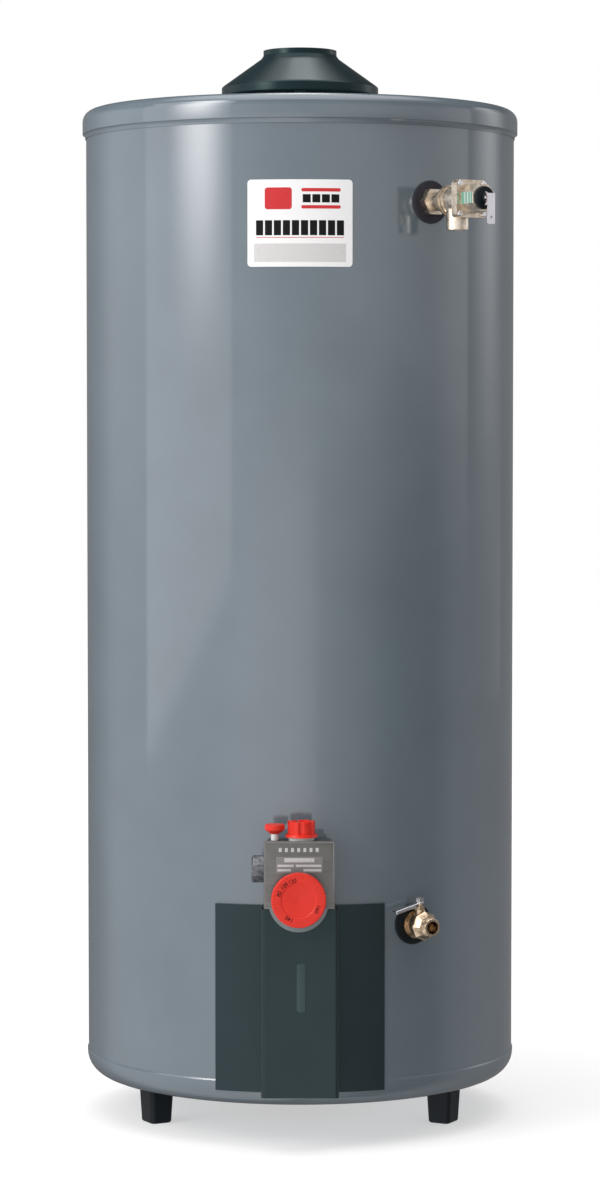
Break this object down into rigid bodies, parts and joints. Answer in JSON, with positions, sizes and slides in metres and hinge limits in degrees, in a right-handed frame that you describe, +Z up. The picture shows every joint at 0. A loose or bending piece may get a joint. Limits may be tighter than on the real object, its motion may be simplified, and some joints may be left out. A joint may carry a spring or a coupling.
{
  "type": "tank water heater",
  "caption": "Upright gas water heater: painted round jacket on three feet, draft hood on top, gas control and door at the front, relief and drain valves.",
  "frame": {"origin": "on the tank's axis at floor level", "axes": "+Z up the tank's axis, -Y the front with the gas control, +X to the right seen from the front"},
  "size_m": [0.6777, 0.7723, 1.6595],
  "materials": {
    "case_paint": "gloss",
    "dark_paint": "satin",
    "black_plastic": "matte",
    "zinc_steel": "satin",
    "insulation": "matte",
    "label_paper": "satin",
    "inner_plastic": "matte",
    "bare_aluminium": "satin",
    "copper": "satin",
    "glass": "polished",
    "control_casting": "satin",
    "control_plate": "satin",
    "red_plastic": "gloss",
    "white_plastic": "satin",
    "valve_brass": "satin",
    "plated_steel": "satin"
  },
  "bodies": {
    "heater": {"outer_jacket": "case_paint", "top_pan": "case_paint", "base_pan": "case_paint", "draft_hood": "dark_paint", "hood_legs": "dark_paint", "foot_front_left": "black_plastic", "foot_front_right": "black_plastic", "foot_rear": "black_plastic", "relief_rosette": "black_plastic", "drain_rosette": "black_plastic", "relief_cap": "black_plastic", "foot_bolts": "zinc_steel", "hood_screws": "zinc_steel", "inner_door_screws": "zinc_steel", "flue_baffle": "zinc_steel", "burner": "zinc_steel", "burner_bracket": "zinc_steel", "inner_door": "zinc_steel", "pilot_burner": "zinc_steel", "combustion_skirt": "zinc_steel", "tank_shell": "zinc_steel", "tank_top_head": "zinc_steel", "tank_bottom_head": "zinc_steel", "flue_tube": "zinc_steel", "tank_spuds": "zinc_steel", "cold_inlet_spud": "zinc_steel", "hot_outlet_spud": "zinc_steel", "pilot_spring": "zinc_steel", "relief_spring": "zinc_steel", "foam_insulation": "insulation", "skirt_insulation": "insulation", "rating_label": "label_paper", "dip_tube": "inner_plastic", "anode_rod": "bare_aluminium", "manifold_tube": "bare_aluminium", "pilot_tube": "bare_aluminium", "thermocouple": "copper", "immersion_probe": "copper", "sight_glass": "glass", "gas_control_body": "control_casting", "gas_inlet_boss": "control_casting", "control_face_plate": "control_plate", "gas_cock_collar": "white_plastic", "relief_body": "valve_brass", "relief_bonnet": "valve_brass", "drain_body": "valve_brass", "drain_hose_end": "valve_brass", "relief_screws": "plated_steel"},
    "dial": {"temperature_dial": "red_plastic"},
    "gas_cock": {"gas_cock_knob": "red_plastic"},
    "pilot_plunger": {"pilot_button": "red_plastic", "pilot_stem": "white_plastic"},
    "relief_plunger": {"relief_stem": "valve_brass", "relief_pin": "plated_steel"},
    "relief_lever": {"test_lever": "plated_steel"},
    "drain_plug": {"drain_ball": "valve_brass", "drain_stem": "valve_brass", "drain_lever": "plated_steel", "drain_lever_nut": "plated_steel"},
    "door": {"access_door": "dark_paint"}
  },
  "joints": [
    {"name": "dial_turn", "type": "hinge", "parent": "heater", "child": "dial", "pos_m": [-0.002, -0.4064, 0.386], "axis": [0, -1, 0], "range_deg": [-135, 135]},
    {"name": "gas_cock_turn", "type": "hinge", "parent": "heater", "child": "gas_cock", "pos_m": [0.002, -0.3804, 0.474], "axis": [0, 0, 1], "range_deg": [0, 180]},
    {"name": "pilot_press", "type": "slide", "parent": "heater", "child": "pilot_plunger", "axis": [0, 0, -1], "range_m": [0, 0.005], "stiffness_N_per_m": 300, "springref_m": -0.004, "deforming": ["pilot_spring"]},
    {"name": "relief_lift", "type": "slide", "parent": "heater", "child": "relief_plunger", "axis": [0.5807, -0.8141, 0], "range_m": [0, 0.00398], "stiffness_N_per_m": 300, "springref_m": -0.004, "deforming": ["relief_spring"]},
    {"name": "test_lever_lift", "type": "hinge", "parent": "relief_plunger", "child": "relief_lever", "pos_m": [0.27374, -0.38377, 1.4078], "axis": [-0.8141, -0.5807, 0], "range_deg": [0, 90]},
    {"name": "drain_valve_turn", "type": "hinge", "parent": "heater", "child": "drain_plug", "pos_m": [0.17835, -0.30278, 0.3324], "axis": [0, 0, 1], "range_deg": [0, 90]},
    {"name": "door_pull", "type": "slide", "parent": "heater", "child": "door", "axis": [0, -1, 0], "range_m": [0, 0.025]}
  ],
  "couplings": [
    {"joint": "test_lever_lift", "follows": "relief_lift", "rad_per_m": 393.7}
  ]
}
